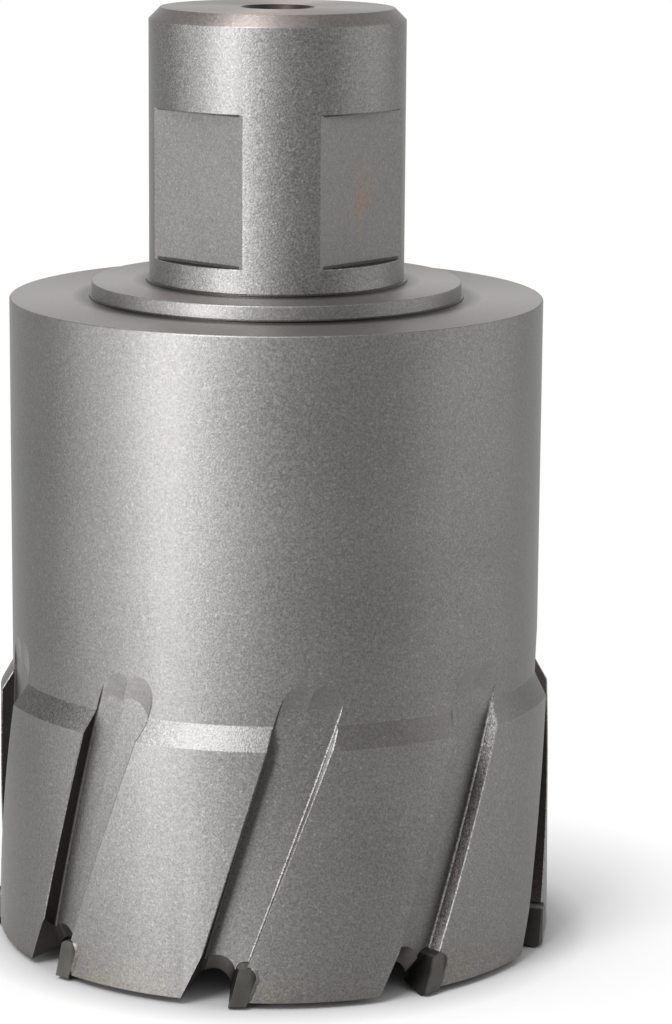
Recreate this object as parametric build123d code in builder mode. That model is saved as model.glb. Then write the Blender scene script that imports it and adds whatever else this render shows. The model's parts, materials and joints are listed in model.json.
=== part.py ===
from build123d import *
import os
from math import asin, cos, degrees, radians, sin, tan

os.makedirs("parts", exist_ok=True)

# Annular cutter with brazed tips. Millimetres, +Z up towards the shank, origin on the axis
# in the plane that the tips' lowest points lie in. Angles about the axis are counted
# counter-clockwise from above, from the direction -Y.

# Cut: the circle and the width of the ring that the tips cut
cutting_diameter = 71.44
kerf_width = 4.37
tip_count = 9
first_tip_angle = -8.8
tip_stand_out = 0.54
tip_stand_in = 0.15
tip_stand_down = 0.8

# Head: the collar that carries the flutes, a little narrower at its top than at the tips
collar_length = 31.1
collar_back_taper = 0.66
cone_length = 2.75
collar_step = 1.57

# Body: the plain cup above the head, closed by a plate under the flange
cutting_depth = 75.0
plate_thickness = 6.4
body_edge_break = 0.2
cup_corner_break = 1.2

# Flange and shank
step_width = 0.3
step_height = 0.3
flange_diameter = 46.1
flange_height = 1.7
flange_edge_break = 0.15
foot_width = 0.42
foot_height = 0.3
shank_diameter = 31.75
shank_length = 33.45
shank_chamfer = 1.45
pilot_bore_diameter = 8.0
pilot_mouth_chamfer = 0.6

# Two flats for the side-lock screws
flat_count = 2
first_flat_angle = -43.0
flat_spacing = 90.0
flat_depth = 1.835
flat_length = 18.55
flat_rise = 2.95

# Flutes: two milling passes side by side, each with a flat floor. The mill stands square to
# the axis and, from the lift height on, climbs out of the body.
mill_diameter = 4.82
flute_depth = 1.87
flute_before_tip = 5.21
flute_past_tip = 0.2
leading_helix = 16.8
trailing_helix = 20.55
mill_lift_height = 34.25
mill_lift_angle = 5.36
mill_lift_length = 4.4

# Gullets: round-ended notches through the wall in front of each tip
gullet_radius = 2.2
gullet_crown_height = 10.15
gullet_front_lean = 26.0
gullet_drop_angle = 55.6
gullet_skew_angle = 28.4

# Tips and their pockets
rake_lean = 14.0
tip_rear_lean = 20.0
tip_crown_width = 2.45
tip_height = 5.3
tip_front_stock = 0.12
tip_skew_angle = 10.0
edge_point_inset = 0.95
outer_edge_slope = 26.0
inner_edge_slope = 19.0
relief_angle = 4.0
side_relief_angle = 8.0
braze_gap = 0.05

# How far every cutting shape runs past the surface that it breaks through
overrun = 1.5

# Radii that follow
cutting_radius = cutting_diameter / 2
face_radius = cutting_radius - tip_stand_out
head_radius = face_radius - collar_length * tan(radians(collar_back_taper))
point_radius = cutting_radius - edge_point_inset
core_radius = cutting_radius - kerf_width
cup_radius = core_radius + tip_stand_in
body_radius = head_radius - collar_step
flange_radius = flange_diameter / 2
step_radius = flange_radius + step_width
shank_radius = shank_diameter / 2
foot_radius = shank_radius + foot_width
bore_radius = pilot_bore_diameter / 2
mouth_radius = bore_radius + pilot_mouth_chamfer
floor_radius = head_radius - flute_depth
blank_radius = cutting_radius + overrun

# Heights that follow
face_inner_height = tip_stand_down + (face_radius - cup_radius) * tan(radians(inner_edge_slope))
collar_top = tip_stand_down + collar_length
cone_top = collar_top + cone_length
body_height = cutting_depth + plate_thickness
step_top = body_height + step_height
flange_top = step_top + flange_height
foot_top = flange_top + foot_height
shank_top = foot_top + shank_length

# The seam of the turned surfaces lies opposite the middle between the two flats
seam_angle = first_flat_angle + flat_spacing * (flat_count - 1) / 2 + 180.0
seam_direction = (sin(radians(seam_angle)), -cos(radians(seam_angle)), 0)
seam_normal = (-cos(radians(seam_angle)), -sin(radians(seam_angle)), 0)
profile_plane = Plane(origin=(0, 0, 0), x_dir=seam_direction, z_dir=seam_normal)

# Turned blank: half section of the whole body, as radius and height
with BuildPart() as turned_blank:
    with BuildSketch(profile_plane):
        with BuildLine():
            Polyline(
                (cup_radius, cutting_depth - cup_corner_break),
                (cup_radius, face_inner_height),
                (face_radius, tip_stand_down),
                (head_radius, collar_top),
                (body_radius, cone_top),
                (body_radius, body_height - body_edge_break),
                (body_radius - body_edge_break, body_height),
                (step_radius, body_height),
                (step_radius, step_top),
                (flange_radius, step_top),
                (flange_radius, flange_top - flange_edge_break),
                (flange_radius - flange_edge_break, flange_top),
                (foot_radius, flange_top),
                (foot_radius, foot_top),
                (shank_radius, foot_top),
                (shank_radius, shank_top - shank_chamfer),
                (shank_radius - shank_chamfer, shank_top),
                (mouth_radius, shank_top),
                (bore_radius, shank_top - pilot_mouth_chamfer),
                (bore_radius, cutting_depth),
                (cup_radius - cup_corner_break, cutting_depth),
                close=True,
            )
        make_face()
    revolve(axis=Axis.Z)

# One flat of the shank, milled square to the direction -Y
flat_plane = Plane(
    origin=(0, -(shank_radius - flat_depth), foot_top + flat_rise + flat_length / 2),
    x_dir=(1, 0, 0),
    z_dir=(0, -1, 0),
)
with BuildPart() as flat_cutter:
    with BuildSketch(flat_plane):
        Rectangle(shank_diameter, flat_length)
    extrude(amount=flat_depth + overrun)


def around_axis(angle, radius):
    """Plan point at an angle about the axis and a distance from it."""
    return (radius * sin(radians(angle)), -radius * cos(radians(angle)))


def across_pass(angle, offset, distance):
    """Plan point at a distance along the direction at an angle, and at an offset across it."""
    along = around_axis(angle, distance)
    return (along[0] + offset * cos(radians(angle)), along[1] + offset * sin(radians(angle)))


# Half widths of the two passes in a plan section, as distances and as angles
mill_radius = mill_diameter / 2
leading_half = mill_radius / cos(radians(leading_helix))
trailing_half = mill_radius / cos(radians(trailing_helix))
leading_half_angle = degrees(asin(leading_half / head_radius))
trailing_half_angle = degrees(asin(trailing_half / head_radius))


def leading_centre(height):
    """Angle of the leading pass's middle at a height, for a tip whose corner is at angle 0."""
    wall_arc = height * tan(radians(leading_helix)) - flute_before_tip
    return degrees(wall_arc / head_radius) + leading_half_angle


def trailing_centre(height):
    """Angle of the trailing pass's middle at a height, for a tip whose corner is at angle 0."""
    wall_arc = height * tan(radians(trailing_helix)) + flute_past_tip
    return degrees(wall_arc / head_radius) - trailing_half_angle


def flute_section(height):
    """Five corners of a flute at a height: each wall and floor is square to its own pass."""
    leading = leading_centre(height)
    trailing = trailing_centre(height)
    half_turn = (trailing - leading) / 2
    return [
        across_pass(leading, -leading_half, blank_radius),
        across_pass(leading, -leading_half, floor_radius),
        around_axis(leading + half_turn, floor_radius / cos(radians(half_turn))),
        across_pass(trailing, trailing_half, floor_radius),
        across_pass(trailing, trailing_half, blank_radius),
    ]


# One flute, up to where the mill still stands at full depth
flute_spans = 6
flute_bottom = -overrun
flute_top = mill_lift_height - mill_radius * sin(radians(trailing_helix))
with BuildPart() as flute_cutter:
    for span in range(flute_spans + 1):
        level = flute_bottom + (flute_top - flute_bottom) * span / flute_spans
        with BuildSketch(Plane.XY.offset(level)):
            Polygon(*flute_section(level), align=None)
    loft()

# Run-out of one pass, for a pass whose middle lies at angle 0 at the lift height: the side
# view of the mill's path, and the mill's round end pushed along the climb


def pass_runout(helix):
    """Cut that the mill makes while it climbs along its helix, as a part."""
    path = Vector(sin(radians(helix)), 0, cos(radians(helix)))
    outward = Vector(0, -1, 0)
    lift = Vector(0, -floor_radius, mill_lift_height)
    climb = mill_lift_length * tan(radians(mill_lift_angle))
    clearance = blank_radius - floor_radius
    with BuildPart() as runout:
        with BuildSketch(Plane(origin=lift, x_dir=path, z_dir=path.cross(outward))):
            Polygon(
                (-mill_diameter, 0),
                (0, 0),
                (mill_lift_length, climb),
                (mill_lift_length, clearance),
                (-mill_diameter, clearance),
                align=None,
            )
        extrude(amount=mill_radius, both=True)
        with BuildSketch(Plane(origin=lift, x_dir=path, z_dir=outward)):
            Circle(mill_radius)
        extrude(
            amount=(path * mill_lift_length + outward * climb).length,
            dir=path * mill_lift_length + outward * climb,
        )
    return runout.part


leading_runout = pass_runout(leading_helix)
trailing_runout = pass_runout(trailing_helix)

# Tangential plane just outside a tip whose outer corner is at angle 0: x runs around the
# cutter and y up
tooth_plane = Plane(origin=(0, -blank_radius, 0), x_dir=(1, 0, 0), z_dir=(0, -1, 0))
tooth_reach = blank_radius - core_radius + overrun
rake_sin = sin(radians(rake_lean))
rake_cos = cos(radians(rake_lean))
rake_slope = rake_sin / rake_cos

# Gullet: swept inwards and down from that plane. Its rear leg is the rake face of the tip,
# through the tip's outer corner.
gullet_fall = tan(radians(gullet_drop_angle))
gullet_shift = tan(radians(gullet_skew_angle))
front_sin = sin(radians(gullet_front_lean))
front_cos = cos(radians(gullet_front_lean))
edge_centre_y = gullet_crown_height - gullet_radius
edge_centre_x = edge_centre_y * rake_slope - gullet_radius / rake_cos
gullet_x = edge_centre_x + overrun * gullet_shift
gullet_y = edge_centre_y + overrun * gullet_fall
crown_turn = radians(90.0 + (gullet_front_lean - rake_lean) / 2)
gullet_crown = (gullet_x + gullet_radius * cos(crown_turn), gullet_y + gullet_radius * sin(crown_turn))
rear_top = (gullet_x + gullet_radius * rake_cos, gullet_y - gullet_radius * rake_sin)
front_top = (gullet_x - gullet_radius * front_cos, gullet_y + gullet_radius * front_sin)
rear_foot = (rear_top[0] - (rear_top[1] + overrun) * rake_slope, -overrun)
front_foot = (front_top[0] - (front_top[1] + overrun) * front_sin / front_cos, -overrun)
with BuildPart() as gullet_cutter:
    with BuildSketch(tooth_plane):
        with BuildLine():
            ThreePointArc(rear_top, gullet_crown, front_top)
            Polyline(front_top, front_foot, rear_foot, rear_top)
        make_face()
    extrude(
        amount=tooth_reach * Vector(gullet_shift, 1, gullet_fall).length,
        dir=(-gullet_shift, 1, -gullet_fall),
    )

# Plane square to the slot that a tip sits in, just outside the same tip: x runs across the
# slot from the tip's outer corner and y up
slot_sin = sin(radians(tip_skew_angle))
slot_cos = cos(radians(tip_skew_angle))
slot_plane = Plane(
    origin=(overrun * slot_sin, -cutting_radius - overrun * slot_cos, 0),
    x_dir=(slot_cos, slot_sin, 0),
    z_dir=(slot_sin, -slot_cos, 0),
)
slot_reach = overrun + (kerf_width + overrun) / slot_cos


def slot_outline(extra):
    """Corners of the wedge-shaped, round-topped slot of a tip, enlarged all round by extra."""
    radius = tip_crown_width / 2
    centre_y = tip_height - radius
    centre_x = centre_y * rake_slope + radius / rake_cos - tip_front_stock
    reach = radius + extra
    front = (centre_x - reach * rake_cos, centre_y + reach * rake_sin)
    crown = (centre_x + reach * rake_sin, centre_y + reach * rake_cos)
    rear = (centre_x + reach * cos(radians(tip_rear_lean)), centre_y - reach * sin(radians(tip_rear_lean)))
    rear_end = (rear[0] - (rear[1] + overrun) * tan(radians(tip_rear_lean)), -overrun)
    front_end = (front[0] - (front[1] + overrun) * rake_slope, -overrun)
    return front, crown, rear, rear_end, front_end


# Pocket: the slot with room for the braze
pocket_front, pocket_crown, pocket_rear, pocket_rear_end, pocket_front_end = slot_outline(braze_gap)
with BuildPart() as pocket_cutter:
    with BuildSketch(slot_plane):
        with BuildLine():
            ThreePointArc(pocket_front, pocket_crown, pocket_rear)
            Polyline(pocket_rear, pocket_rear_end, pocket_front_end, pocket_front)
        make_face()
    extrude(amount=-slot_reach)

# Cutter body: the blank with its flats, flutes, gullets and pockets milled
with BuildPart() as cutter_body:
    add(turned_blank.part)
    for number in range(flat_count):
        add(
            flat_cutter.part,
            rotation=(0, 0, first_flat_angle + flat_spacing * number),
            mode=Mode.SUBTRACT,
        )
    with PolarLocations(0, tip_count, start_angle=first_tip_angle):
        add(flute_cutter.part, mode=Mode.SUBTRACT)
        add(pocket_cutter.part, mode=Mode.SUBTRACT)
        add(gullet_cutter.part, mode=Mode.SUBTRACT)
    with PolarLocations(0, tip_count, start_angle=first_tip_angle + leading_centre(mill_lift_height)):
        add(leading_runout, mode=Mode.SUBTRACT)
    with PolarLocations(0, tip_count, start_angle=first_tip_angle + trailing_centre(mill_lift_height)):
        add(trailing_runout, mode=Mode.SUBTRACT)
cutter_body.part.label = "cutter_body"
export_step(cutter_body.part, "parts/cutter_body.step")

# Carbide tip: the slot's shape out to the cutting circle and in to the core, ground flush
# with the gullet. Its edge falls from both ends to a point. Behind the edge the two lower
# faces rise and the outer face falls back from the cutting circle.
tip_front, tip_crown, tip_rear, tip_rear_end, tip_front_end = slot_outline(0)
side_fall_centre = (
    -cutting_radius * sin(radians(side_relief_angle)),
    -cutting_radius * (1 - cos(radians(side_relief_angle))),
)
relief_rise = tan(radians(relief_angle))
edge_point = (-edge_point_inset * (gullet_shift - gullet_fall * rake_slope), -point_radius, 0)
outer_relief = Plane(
    origin=edge_point,
    x_dir=(1, 0, relief_rise),
    z_dir=(-relief_rise, tan(radians(outer_edge_slope)), 1),
)
inner_relief = Plane(
    origin=edge_point,
    x_dir=(1, 0, relief_rise),
    z_dir=(-relief_rise, -tan(radians(inner_edge_slope)), 1),
)
with BuildPart() as tip_blank:
    with BuildSketch(slot_plane):
        with BuildLine():
            ThreePointArc(tip_front, tip_crown, tip_rear)
            Polyline(tip_rear, tip_rear_end, tip_front_end, tip_front)
        make_face()
    extrude(amount=-slot_reach)
    with BuildSketch(Plane.XY.offset(-overrun)):
        with Locations(side_fall_centre):
            Circle(cutting_radius)
        Circle(core_radius, mode=Mode.SUBTRACT)
    extrude(amount=overrun + tip_height + overrun, mode=Mode.INTERSECT)
    add(gullet_cutter.part, mode=Mode.SUBTRACT)
    split(bisect_by=outer_relief, keep=Keep.TOP)
    split(bisect_by=inner_relief, keep=Keep.TOP)

for number in range(tip_count):
    with BuildPart() as carbide_tip:
        add(tip_blank.part, rotation=(0, 0, first_tip_angle + 360.0 / tip_count * number))
    carbide_tip.part.label = f"carbide_tip_{number + 1}"
    export_step(carbide_tip.part, f"parts/carbide_tip_{number + 1}.step")
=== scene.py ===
"""Looks of an annular cutter with brazed carbide tips.

The steel body is turned and milled again as a fine mesh, with the mill's corner radii and
broken edges, and stands for the frame's body. The tips stay as they are in the frame and get
their finish, and a bead of braze is added behind each of them. Lengths are in millimetres
until a mesh or a material takes them, in metres. Fields hold angles in degrees, and formulas
take them in radians.
"""
import json
import logging
from dataclasses import dataclass
from enum import Enum, IntEnum
from math import asin, atan, cos, pi, radians, sin, tan

import bmesh
import bpy
import numpy as np
from mathutils import Matrix, Vector

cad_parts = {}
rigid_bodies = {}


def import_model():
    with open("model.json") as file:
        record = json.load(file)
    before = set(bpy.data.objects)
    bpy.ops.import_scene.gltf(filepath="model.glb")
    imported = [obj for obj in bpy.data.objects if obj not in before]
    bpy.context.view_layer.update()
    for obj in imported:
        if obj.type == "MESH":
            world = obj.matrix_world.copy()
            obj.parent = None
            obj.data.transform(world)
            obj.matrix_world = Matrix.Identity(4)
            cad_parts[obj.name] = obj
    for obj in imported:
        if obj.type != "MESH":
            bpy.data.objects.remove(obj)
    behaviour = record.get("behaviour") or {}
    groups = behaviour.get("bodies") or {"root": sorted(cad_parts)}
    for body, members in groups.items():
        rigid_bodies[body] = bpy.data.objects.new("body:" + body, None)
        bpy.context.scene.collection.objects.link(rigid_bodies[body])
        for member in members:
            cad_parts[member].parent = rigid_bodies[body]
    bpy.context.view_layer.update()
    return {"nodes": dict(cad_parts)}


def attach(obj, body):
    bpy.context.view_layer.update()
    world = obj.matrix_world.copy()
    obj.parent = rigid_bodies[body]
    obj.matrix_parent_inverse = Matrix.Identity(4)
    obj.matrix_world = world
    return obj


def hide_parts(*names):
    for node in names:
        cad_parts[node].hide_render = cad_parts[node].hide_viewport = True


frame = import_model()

BODY = "root"
# One millimetre in metres
MM = 0.001
# Points closer than this, in metres, are merged
MERGE_DISTANCE = 1e-7
WHITE = (1.0, 1.0, 1.0, 1.0)
Colour = tuple[float, float, float]
Pair = tuple[float, float]
Series = tuple[float, ...]
Values = np.ndarray | float
Socket = bpy.types.NodeSocket
log = logging.getLogger("cutter")


class Surface(IntEnum):
    """Kinds of surface of the steel body, by what made them."""

    TURNED = 0
    CUP = 1
    FLAT = 2
    LEADING_FLUTE = 3
    TRAILING_FLUTE = 4
    LEADING_RUNOUT = 5
    TRAILING_RUNOUT = 6
    FLUTE_WALL = 7
    GULLET = 8
    POCKET = 9
    EDGE = 10


class Side(IntEnum):
    """Side of its outer wall that a pass of the flute mill lies on."""

    ONWARD = 1
    BACKWARD = -1


# Grain, brightness and warmth of every kind of surface
FINISH_AND_SHADE = {
    Surface.TURNED: (1.0, 1.0, 0.0),
    # Painted shade: the inside of the cup is darker.
    Surface.CUP: (1.0, 0.38, 1.0),
    Surface.FLAT: (0.9, 1.0, 0.0),
    Surface.LEADING_FLUTE: (1.0, 1.0, 0.0),
    Surface.TRAILING_FLUTE: (1.0, 1.04, 0.0),
    Surface.LEADING_RUNOUT: (0.55, 1.06, 0.1),
    Surface.TRAILING_RUNOUT: (0.55, 1.02, 0.1),
    Surface.FLUTE_WALL: (2.6, 1.05, 0.1),
    Surface.GULLET: (0.0, 1.0, 0.4),
    Surface.POCKET: (0.0, 0.5, 1.0),
    Surface.EDGE: (2.2, 1.15, 0.0),
}


class Zone(Enum):
    """Grain, brightness and warmth of the places that differ from the rest of their surface."""

    SHANK = (1.45, 1.0, 0.0)
    COLLAR = (1.0, 1.06, 0.0)
    # Painted light: the level rings and the shank's end are brighter than the turned sides.
    FLAT_RING = (0.35, 1.42, 0.4)
    SHANK_END = (0.5, 1.42, 0.8)
    SHANK_CHAMFER = (0.7, 0.98, 0.75)
    # Painted shade: the sides of the step and of the foot are darker.
    STEP_SIDE = (0.4, 0.35, 0.6)
    FOOT_SIDE = (0.4, 0.5, 0.6)
    # Painted shade: the pilot bore is darker.
    PILOT_BORE = (0.3, 0.2, 0.8)
    # Painted shade: the flat on the right is darker.
    RIGHT_FLAT = (0.7, 0.82, 0.0)
    # Painted shade: the flats' ledges are darker.
    FLAT_LEDGE = (0.3, 0.3, 0.6)
    # Painted shade: the fillets and walls that face onwards in the flutes are darker.
    WALL_FILLET = (0.6, 0.52, 0.5)
    LEADING_WALL = (0.6, 0.36, 0.8)
    # Painted shade: the gullets' fronts are darker.
    GULLET_FRONT = (0.3, 0.43, 1.0)


@dataclass(frozen=True)
class CutterSizes:
    """Sizes of the whole cutter in millimetres and degrees, within 0.02 mm of the CAD part's."""

    cutting_radius: float = 35.72
    core_radius: float = 31.35
    cup_radius: float = 31.5
    face_radius: float = 35.165
    back_taper: float = 0.66
    collar_step: float = 1.57
    face_height: float = 0.8
    face_slope: float = 19.0
    collar_top: float = 31.9
    cone_top: float = 34.65
    cup_depth: float = 75.0
    cup_chamfer: float = 1.2
    body_top: float = 81.4
    step_radius: float = 23.35
    step_top: float = 81.7
    flange_radius: float = 23.05
    flange_top: float = 83.4
    foot_radius: float = 16.295
    foot_top: float = 83.7
    shank_radius: float = 15.875
    shank_top: float = 117.15
    shank_chamfer: float = 1.45
    flat_bottom: float = 86.65
    flat_top: float = 105.2
    bore_radius: float = 4.0
    mouth_radius: float = 4.6
    mouth_depth: float = 0.6
    tip_count: int = 9
    first_tip_angle: float = -8.8
    leading_helix: float = 16.8
    leading_wall_arc: float = 5.21
    trailing_helix: float = 20.55
    trailing_wall_arc: float = -0.2

    @property
    def head_radius(self) -> float:
        """Radius of the collar at its top, where its back taper ends."""
        return self.face_radius - (self.collar_top - self.face_height) * tan(radians(self.back_taper))

    @property
    def body_radius(self) -> float:
        """Radius of the plain cup above the collar's cone."""
        return self.head_radius - self.collar_step

    @property
    def face_inner_height(self) -> float:
        """Height of the steel's lower face at the cup's wall."""
        return self.face_height + (self.face_radius - self.cup_radius) * tan(radians(self.face_slope))

    @property
    def tip_angles(self) -> list[float]:
        """Angle of every tip about the axis."""
        return [self.first_tip_angle + 360.0 / self.tip_count * n for n in range(self.tip_count)]

    def outer_radius(self, height: np.ndarray) -> np.ndarray:
        """Radius of the turned outside at each height: collar, cone, then body."""
        heights = [self.face_height, self.collar_top, self.cone_top]
        return np.interp(height, heights, [self.face_radius, self.head_radius, self.body_radius])


@dataclass
class Patch:
    """A closed surface of quads and polygons, with the surface number of each face."""

    points: np.ndarray
    faces: list[list[int]]
    marks: list[int]

    def turned(self, angle: float) -> "Patch":
        """The same patch turned about the axis.

        Args:
            angle: The turn in degrees.

        Returns:
            The turned patch, with the same faces and marks.
        """
        c, s = cos(radians(angle)), sin(radians(angle))
        turn = np.array([[c, -s, 0.0], [s, c, 0.0], [0.0, 0.0, 1.0]])
        return Patch(self.points @ turn.T, self.faces, self.marks)

    def repeated(self, angles: list[float]) -> "Patch":
        """One patch that holds a turned copy for every angle.

        Args:
            angles: The turns in degrees.

        Returns:
            The copies in order, each with its faces renumbered by the points before it.
        """
        copies = [self.turned(angle) for angle in angles]
        faces = [
            [corner + turn * len(self.points) for corner in face]
            for turn in range(len(copies))
            for face in self.faces
        ]
        return Patch(np.vstack([copy.points for copy in copies]), faces, self.marks * len(copies))


def points_at(x: Values, y: Values, z: Values) -> np.ndarray:
    """Points from three coordinates, which are first carried out to one common shape."""
    return np.stack(np.broadcast_arrays(x, y, z), axis=-1)


def grid_faces(rows: int, columns: int, close_rows: bool, close_columns: bool) -> np.ndarray:
    """Quads of a grid whose point (row, column) has the number row * columns + column.

    Args:
        rows: Number of rows of points.
        columns: Number of points in each row.
        close_rows: Whether the last row joins the first.
        close_columns: Whether the last column joins the first.

    Returns:
        An array of quads, shaped (bands, steps, 4).
    """
    row = np.arange(rows if close_rows else rows - 1)[:, None]
    column = np.arange(columns if close_columns else columns - 1)[None, :]
    below = row * columns
    above = (row + 1) % rows * columns
    after = (column + 1) % columns
    return np.stack([below + column, below + after, above + after, above + column], axis=-1)


def tube_patch(grid: np.ndarray, marks: np.ndarray | int, lid: Surface, by_rows: bool) -> Patch:
    """Closes a grid of points into a tube with a flat lid at each end.

    Args:
        grid: Points, shaped (rows, columns, 3).
        marks: Surface number of each quad, or one number for all of them.
        lid: Surface of both lids.
        by_rows: Whether each row is a ring round the tube; if not, each column is one.

    Returns:
        The closed patch, its lids last.
    """
    rows, columns = grid.shape[:2]
    quads = grid_faces(rows, columns, not by_rows, by_rows)
    numbers = np.arange(rows * columns).reshape(rows, columns)
    lids = (numbers[0, ::-1], numbers[-1]) if by_rows else (numbers[:, 0], numbers[::-1, -1])
    faces = quads.reshape(-1, 4).tolist() + [ring.tolist() for ring in lids]
    numbered = np.broadcast_to(marks, quads.shape[:2]).ravel().tolist()
    return Patch(grid.reshape(-1, 3), faces, numbered + [int(lid)] * 2)


def crowned_outline(
    centre: np.ndarray, radius: float, leans: Pair, foot: float, steps: int
) -> np.ndarray:
    """Outline of two leaning legs under a round crown, from the rear leg's foot round.

    The crown is centre + radius * (cos a, sin a), for a from -(rear lean) to pi - (front
    lean). Each leg goes on from its end along the tangent, down to the foot's height.

    Args:
        centre: The crown's centre, across and up.
        radius: The crown's radius.
        leans: Lean of the rear leg and of the front leg in radians.
        foot: Height at which both legs end.
        steps: Number of points on the crown.

    Returns:
        The outline's points, across and up.
    """
    rear_lean, front_lean = leans
    turn = np.linspace(-rear_lean, pi - front_lean, steps)
    arc = np.stack([centre[0] + radius * np.cos(turn), centre[1] + radius * np.sin(turn)], axis=-1)
    rear = [arc[0, 0] - (arc[0, 1] - foot) * tan(rear_lean), foot]
    front = [arc[-1, 0] - (arc[-1, 1] - foot) * tan(front_lean), foot]
    return np.vstack([[rear], arc, [front]])


def marker(surface: Surface) -> bpy.types.Material:
    """Empty material that carries a surface number through the cuts."""
    name = f"marker_{int(surface)}"
    return bpy.data.materials.get(name) or bpy.data.materials.new(name)


def mesh_object(name: str, patch: Patch) -> bpy.types.Object:
    """Writes a patch as a Blender mesh in metres, facing outwards, and links it to the scene.

    Args:
        name: Name of the object and its mesh.
        patch: The surface in millimetres.

    Returns:
        The new object, at the origin.
    """
    mesh = bpy.data.meshes.new(name)
    mesh.from_pydata((patch.points * MM).tolist(), [], patch.faces)
    for surface in Surface:
        mesh.materials.append(marker(surface))
    mesh.polygons.foreach_set("material_index", np.array(patch.marks, dtype=np.int32))
    mesh.update()
    shell = bmesh.new()
    shell.from_mesh(mesh)
    if shell.calc_volume(signed=True) < 0.0:
        bmesh.ops.reverse_faces(shell, faces=shell.faces)
        shell.to_mesh(mesh)
    shell.free()
    piece = bpy.data.objects.new(name, mesh)
    bpy.context.scene.collection.objects.link(piece)
    return piece


@dataclass
class TurnedBlank:
    """The blank as it leaves the lathe: one half section carried once about the axis."""

    sizes: CutterSizes
    segments: int = 288
    corner_steps: int = 5

    def half_section(self) -> tuple[np.ndarray, np.ndarray]:
        """Closed half section as radius and height, with its corners rounded.

        Each corner with a radius r is replaced by an arc that touches both of its sides at
        r * tan(half the turn) from the corner.

        Returns:
            The section's points, and for each of its sides the surface number.
        """
        z = self.sizes
        outside, cup = Surface.TURNED, Surface.CUP
        # Radius, height, radius of the rounded corner, and surface of the side after it
        corners = [
            (z.cup_radius, z.cup_depth - z.cup_chamfer, 0.0, cup),
            (z.cup_radius, z.face_inner_height, 0.1, outside),
            (z.face_radius, z.face_height, 0.1, outside),
            (z.head_radius, z.collar_top, 0.12, outside),
            (z.body_radius, z.cone_top, 0.3, outside),
            (z.body_radius, z.body_top, 0.22, outside),
            (z.step_radius, z.body_top, 0.05, outside),
            (z.step_radius, z.step_top, 0.08, outside),
            (z.flange_radius, z.step_top, 0.05, outside),
            (z.flange_radius, z.flange_top, 0.15, outside),
            (z.foot_radius, z.flange_top, 0.08, outside),
            (z.foot_radius, z.foot_top, 0.1, outside),
            (z.shank_radius, z.foot_top, 0.05, outside),
            (z.shank_radius, z.shank_top - z.shank_chamfer, 0.2, outside),
            (z.shank_radius - z.shank_chamfer, z.shank_top, 0.2, outside),
            (z.mouth_radius, z.shank_top, 0.1, outside),
            (z.bore_radius, z.shank_top - z.mouth_depth, 0.1, outside),
            (z.bore_radius, z.cup_depth, 0.2, cup),
            (z.cup_radius - z.cup_chamfer, z.cup_depth, 0.3, cup),
        ]
        places = np.array([corner[:2] for corner in corners])
        before = np.roll(places, 1, axis=0) - places
        after = np.roll(places, -1, axis=0) - places
        before /= np.linalg.norm(before, axis=1)[:, None]
        after /= np.linalg.norm(after, axis=1)[:, None]
        points, marks = [], []
        share = np.linspace(0.0, 1.0, self.corner_steps + 1)[:, None]
        for (_, _, bend, mark), place, back, ahead in zip(corners, places, before, after):
            if bend == 0.0:
                points.append(place[None, :])
                marks.append(mark)
                continue
            half = np.arccos(np.clip(-back @ ahead, -1.0, 1.0)) / 2
            reach = bend * np.tan(half)
            towards = back + ahead
            centre = place + towards / np.linalg.norm(towards) * bend / np.cos(half)
            start, end = place + back * reach - centre, place + ahead * reach - centre
            whole = 2 * half
            arc = (np.sin((1 - share) * whole) * start + np.sin(share * whole) * end) / np.sin(whole)
            points.append(centre + arc)
            marks += [mark] * (self.corner_steps + 1)
        return np.vstack(points), np.array(marks)

    def patch(self) -> Patch:
        """The turned blank: point (i, j) is section point i turned by step j of a full turn.

        Returns:
            The blank's closed surface.
        """
        section, marks = self.half_section()
        turn = np.linspace(0.0, 2 * pi, self.segments, endpoint=False)
        radius, height = section[:, :1], section[:, 1:]
        grid = points_at(radius * np.sin(turn), -radius * np.cos(turn), height)
        quads = grid_faces(len(section), self.segments, True, True)[..., ::-1]
        numbers = np.repeat(marks, self.segments)
        return Patch(grid.reshape(-1, 3), quads.reshape(-1, 4).tolist(), numbers.tolist())


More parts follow.
